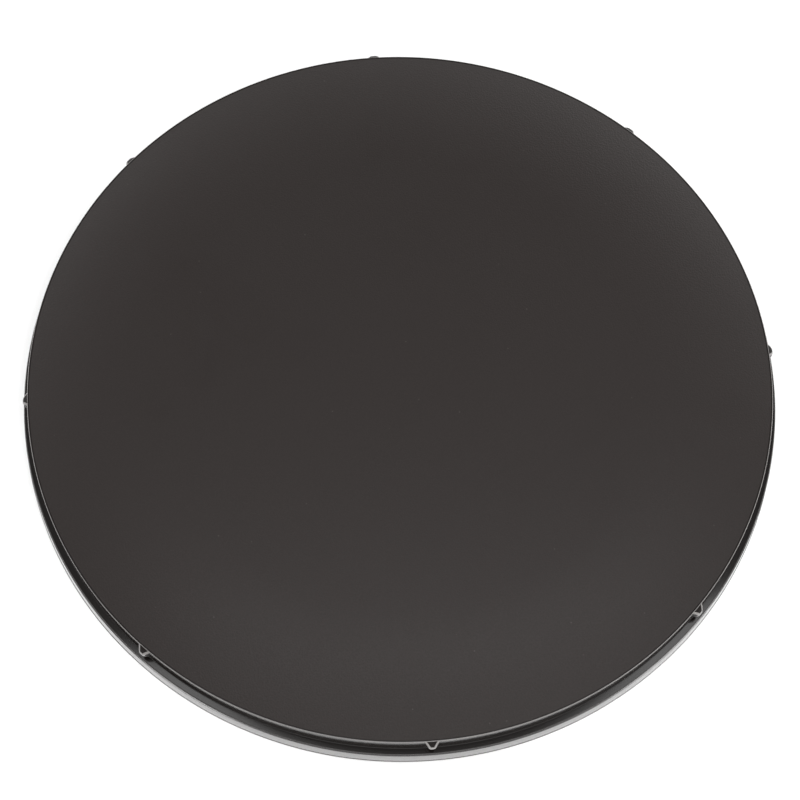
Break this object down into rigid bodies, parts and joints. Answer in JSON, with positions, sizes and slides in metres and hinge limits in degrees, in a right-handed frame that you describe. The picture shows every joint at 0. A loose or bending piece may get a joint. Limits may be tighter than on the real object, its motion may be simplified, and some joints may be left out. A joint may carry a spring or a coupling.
{
  "type": "telescope dust cover",
  "caption": "Round push-in dust cover for the open end of a telescope tube: a shallow matte plug with friction nubs above a wider shelf and side band.",
  "frame": {"origin": "centre of the cover's foot, on its centre line, at the level of the surface it lies on", "axes": "+Z along the cover's centre line, from the side band towards the plug's face; +X through the middle of friction nub 1"},
  "size_m": [0.2312, 0.2312, 0.0128],
  "materials": {
    "face_black": "fine-grained matte moulded plastic, warm black",
    "rim_black": "satin moulded plastic, warm black",
    "band_black": "smooth semi-gloss moulded plastic, warm black",
    "nub_black": "smooth moulded plastic, warm black"
  },
  "bodies": {
    "root": {"face_plate": "face_black", "rim_ring": "rim_black", "side_band": "band_black", "friction_nub_1": "nub_black", "friction_nub_2": "nub_black", "friction_nub_3": "nub_black", "friction_nub_4": "nub_black", "friction_nub_5": "nub_black", "friction_nub_6": "nub_black", "friction_nub_7": "nub_black", "friction_nub_8": "nub_black"}
  },
  "joints": []
}
